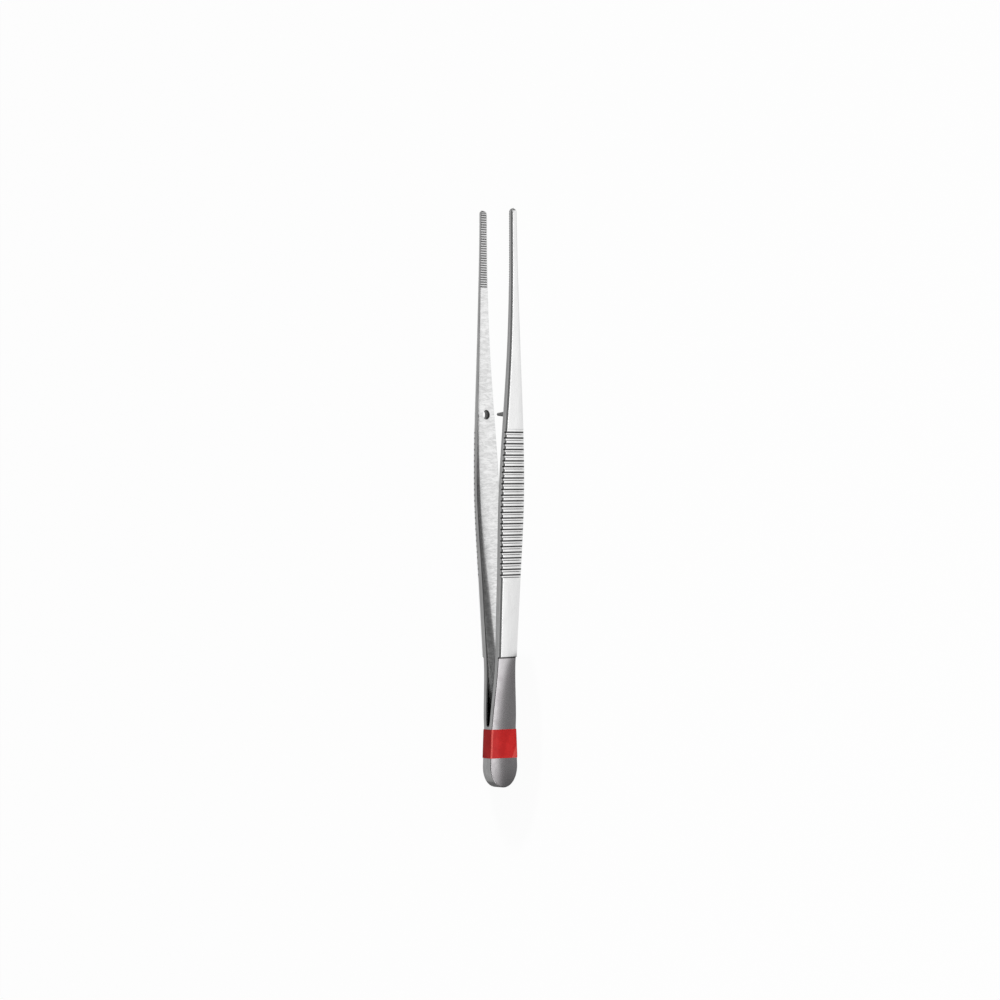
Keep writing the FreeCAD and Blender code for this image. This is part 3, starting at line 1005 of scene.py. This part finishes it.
def make_floor():
    """A pale floor: white where the camera or the first reflection sees it, paper for all other light."""
    size = FLOOR_HALF_SIZE
    mesh = bpy.data.meshes.new("floor")
    level = cad_box[0][2] - FLOOR_GAP
    corners = [(-size, -size, level), (size, -size, level), (size, size, level), (-size, size, level)]
    mesh.from_pydata(corners, [], [(0, 1, 2, 3)])
    material, tree = new_material("pale_floor")
    path = tree.nodes.new("ShaderNodeLightPath")
    seen = {name: Wire(tree, path.outputs[name]) for name in
            ("Is Camera Ray", "Is Glossy Ray", "Is Transmission Ray", "Glossy Depth")}
    direct = (seen["Is Camera Ray"] + seen["Is Transmission Ray"]).at_most(1)
    first_gloss = seen["Is Glossy Ray"] * (2 - seen["Glossy Depth"]).at_least(0).at_most(1)
    place = add_node(tree, "ShaderNodeTexCoord", {}, {}, "Object")
    in_steel, rest = light_in_steel(tree, place)
    strength = 1 - rest * direct * REST_SHADOW - first_gloss * (1 - in_steel)
    paper = add_node(tree, "ShaderNodeBsdfDiffuse", {}, {"Color": grey(PAPER_GREY)})
    white = add_node(tree, "ShaderNodeEmission", {}, {"Color": grey(1), "Strength": strength})
    shown = (direct + first_gloss) * FLOOR_SHOWN
    surface = add_node(tree, "ShaderNodeMixShader", {}, {0: shown, 1: paper, 2: white})
    add_node(tree, "ShaderNodeOutputMaterial", {}, {"Surface": surface})
    floor = piece("floor", mesh, [material])


def make_world():
    """A pale horizon, brightest at +X, a dimmer ceiling, and less light over the front and the ends."""
    world = bpy.data.worlds.new("studio")
    bpy.context.scene.world = world
    world.use_nodes = True
    tree = world.node_tree
    tree.nodes.clear()
    way = add_node(tree, "ShaderNodeTexCoord", {}, {}, "Generated")
    x, y, height = numbers_of(way)
    towards_front = add_node(tree, "ShaderNodeVectorMath", {"operation": "DOT_PRODUCT"},
                             {0: way, 1: FRONT_WAY}, "Value")
    horizon = height.ramp(*HORIZON_HEIGHT, 1.0, 0.0) * (HORIZON + x.ramp(*RIGHT_START) * RIGHT_HORIZON)
    front = towards_front.ramp(*FRONT_START, 1.0, FRONT_LIGHT)
    ends = abs(y).ramp(*ENDS_START, 1.0, ENDS_LIGHT)
    light = add_node(tree, "ShaderNodeBackground", {},
                     {"Color": grey(1), "Strength": (CEILING + horizon) * front * ends})
    add_node(tree, "ShaderNodeOutputWorld", {}, {"Surface": light})


def make_lamp(name, place, size, watts):
    """A soft lamp aimed at the forceps. The steel doesn't mirror it, so its edges show only the room."""
    data = bpy.data.lights.new(name, "AREA")
    data.shape = "RECTANGLE"
    data.size, data.size_y = size
    data.energy = watts
    lamp = bpy.data.objects.new(name, data)
    bpy.context.scene.collection.objects.link(lamp)
    lamp.visible_glossy = False
    lamp.location = place
    lamp.rotation_euler = (Vector((0, 0, 0)) - Vector(place)).to_track_quat("-Z", "Y").to_euler()


def make_camera():
    """Looks down at 45 degrees from the +X side, square to the forceps, with its top leaning a little."""
    axis = Vector((0, 0, REST_HEIGHT * MM))
    away = Vector((math.sqrt(0.5), 0, math.sqrt(0.5)))
    right = Vector((math.sqrt(0.5), 0, -math.sqrt(0.5)))
    place = axis + away * CAMERA_DISTANCE + Vector((0, CAMERA_ALONG, 0))
    aim = axis + right * AIM_RIGHT + Vector((0, AIM_ALONG, 0))
    forward = (aim - place).normalized()
    side = forward.cross(Vector((0, 1, 0))).normalized()
    up = side.cross(forward)
    lean = math.radians(CAMERA_LEAN)
    top = up * math.cos(lean) + side * math.sin(lean)
    side = forward.cross(top).normalized()
    data = bpy.data.cameras.new("camera")
    data.sensor_width = SENSOR_WIDTH
    data.lens = PIXELS_PER_MM * CAMERA_DISTANCE / MM * SENSOR_WIDTH / IMAGE_WIDTH
    data.clip_start = 0.01
    camera = bpy.data.objects.new("camera", data)
    bpy.context.scene.collection.objects.link(camera)
    rotation = camera.matrix_world.to_3x3()
    rotation.col[0], rotation.col[1], rotation.col[2] = side, top, -forward
    camera.matrix_world = rotation.to_4x4()
    camera.location = place
    bpy.context.scene.camera = camera


make_floor()
make_world()
make_lamp("right_lamp", place=(0.9, 0.0, 0.1), size=(0.9, 0.2), watts=2.0)
make_lamp("soft_lamp", place=(0.65, -0.3, 0.5), size=(0.5, 0.5), watts=3.6)
make_camera()
bpy.context.scene.view_settings.view_transform = "Standard"
